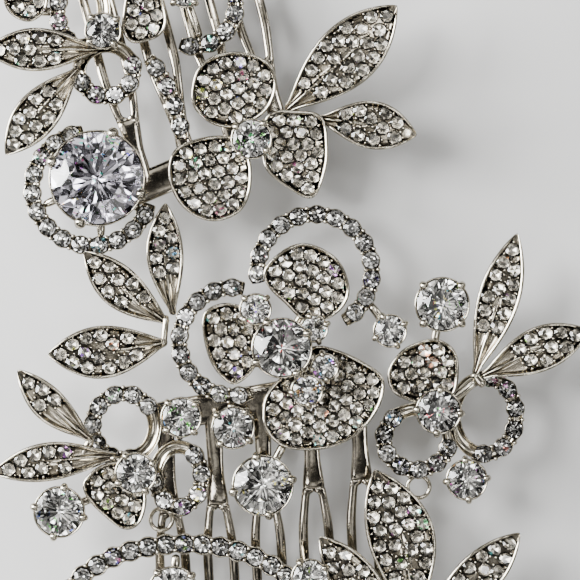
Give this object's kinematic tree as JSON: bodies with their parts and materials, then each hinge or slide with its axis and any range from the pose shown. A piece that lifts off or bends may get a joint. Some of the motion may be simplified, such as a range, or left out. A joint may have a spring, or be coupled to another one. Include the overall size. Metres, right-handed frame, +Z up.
{
  "type": "bridal hair comb",
  "caption": "Openwork silver-coloured hair ornament of stone-set flowers, leaves and rings over forked comb prongs.",
  "frame": {"origin": "middle of the bounding box at the surface that the comb lies on", "axes": "comb lies face up: +Z up out of the stones, +Y along the teeth of the upper comb, +X to the right seen from above"},
  "size_m": [0.0756, 0.1086, 0.0142],
  "materials": {
    "plated_metal": "bright silver-coloured plating over cast zinc alloy, darkened in the recesses",
    "comb_metal": "bright silver-coloured plating, smooth",
    "clear_stone": "clear faceted glass with a mirror foil behind",
    "violet_stone": "faint violet-grey faceted crystal",
    "small_stones": "small clear faceted rhinestones with foil backs"
  },
  "bodies": {
    "root": {"top_left_cluster": "plated_metal", "top_flower": "plated_metal", "upper_link_band": "plated_metal", "side_link_band": "plated_metal", "large_stone_ring": "plated_metal", "left_leaf_spray": "plated_metal", "centre_flower": "plated_metal", "upper_ring": "plated_metal", "left_ring": "plated_metal", "right_flower": "plated_metal", "right_rings": "plated_metal", "lower_left_flower": "plated_metal", "lower_left_rings": "plated_metal", "bottom_ring": "plated_metal", "bottom_leaf_spray": "plated_metal", "lower_comb": "comb_metal", "upper_comb": "comb_metal", "left_jump_ring": "plated_metal", "right_jump_ring": "plated_metal", "large_stone": "violet_stone", "top_stone": "clear_stone", "centre_stone": "clear_stone", "centre_accent_1": "clear_stone", "centre_accent_2": "clear_stone", "centre_accent_3": "clear_stone", "centre_accent_4": "clear_stone", "left_drop_stone": "clear_stone", "lower_drop_stone": "clear_stone", "right_link_stone": "clear_stone", "right_top_stone": "clear_stone", "right_flower_stone": "clear_stone", "right_lower_stone": "clear_stone", "left_link_stone": "clear_stone", "left_flower_stone": "clear_stone", "left_corner_stone": "clear_stone", "crest_stone": "clear_stone", "ring_top_stone": "clear_stone", "bottom_link_stone": "clear_stone", "upper_bezel_stone": "clear_stone", "large_ring_chips": "small_stones", "upper_ring_chips": "small_stones", "left_ring_chips": "small_stones", "right_ring_chips": "small_stones", "lower_left_ring_chips": "small_stones", "bottom_ring_chips": "small_stones", "crest_ring_chips": "small_stones", "upper_band_chips": "small_stones", "side_band_chips": "small_stones"}
  },
  "joints": []
}
